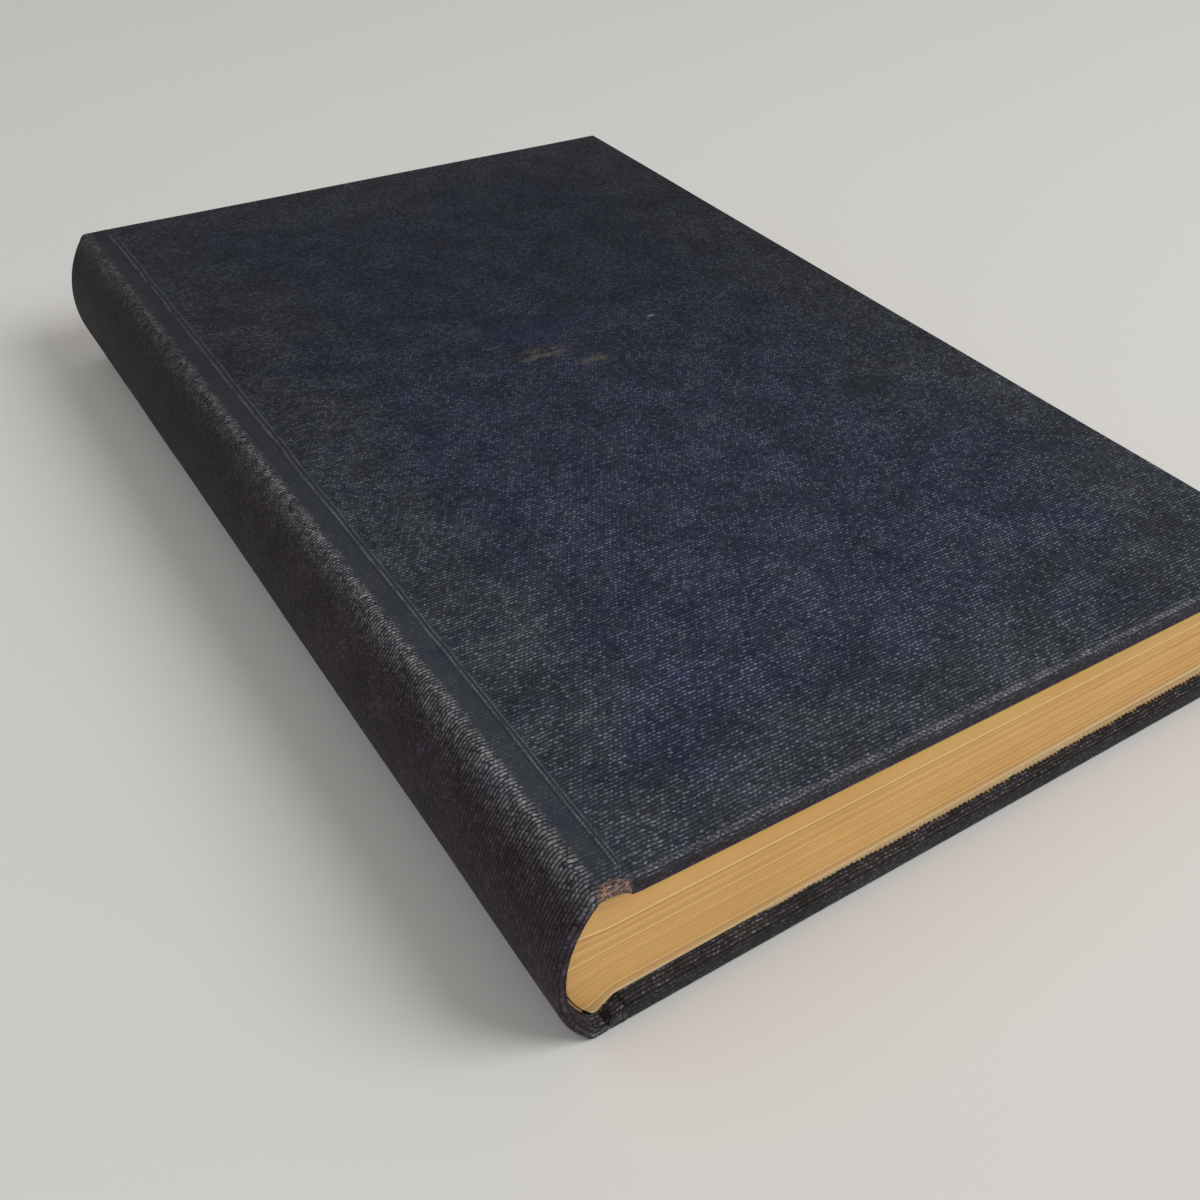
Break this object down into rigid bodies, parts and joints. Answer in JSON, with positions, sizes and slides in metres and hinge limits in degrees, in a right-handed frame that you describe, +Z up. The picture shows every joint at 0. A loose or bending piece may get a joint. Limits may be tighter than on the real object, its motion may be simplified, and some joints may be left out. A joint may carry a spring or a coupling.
{
  "type": "hardback book",
  "caption": "Cloth-bound hardback book lying closed, with a rounded hollow-back spine, pressed joint grooves and covers that open on cloth hinges.",
  "frame": {"origin": "centre of the closed book's footprint, on the underside of the back cover", "axes": "+X from the spine to the fore edge, +Y from the tail to the head, +Z up through the closed book, front cover uppermost"},
  "size_m": [0.145, 0.222, 0.0309],
  "materials": {
    "cover_cloth": "matte",
    "greyboard": "matte",
    "spine_card": "matte",
    "pages": "matte",
    "endpaper": "matte",
    "gauze": "matte",
    "lining_paper": "matte"
  },
  "bodies": {
    "pages_and_spine": {"text_block": "pages", "front_flyleaf": "endpaper", "back_flyleaf": "endpaper", "spine_mull": "gauze", "spine_lining": "lining_paper", "spine_card": "spine_card", "spine_cloth": "cover_cloth"},
    "front_cover": {"front_board": "greyboard", "front_cloth": "cover_cloth", "front_mull_flap": "gauze", "front_pastedown": "endpaper"},
    "back_cover": {"back_board": "greyboard", "back_cloth": "cover_cloth", "back_mull_flap": "gauze", "back_pastedown": "endpaper"}
  },
  "joints": [
    {"name": "front_cover_hinge", "type": "hinge", "parent": "pages_and_spine", "child": "front_cover", "pos_m": [-0.0642, 0, 0.031], "axis": [0, -1, 0], "range_deg": [0, 178]},
    {"name": "back_cover_hinge", "type": "hinge", "parent": "pages_and_spine", "child": "back_cover", "pos_m": [-0.0642, 0, 0], "axis": [0, 1, 0], "range_deg": [0, 178]}
  ]
}
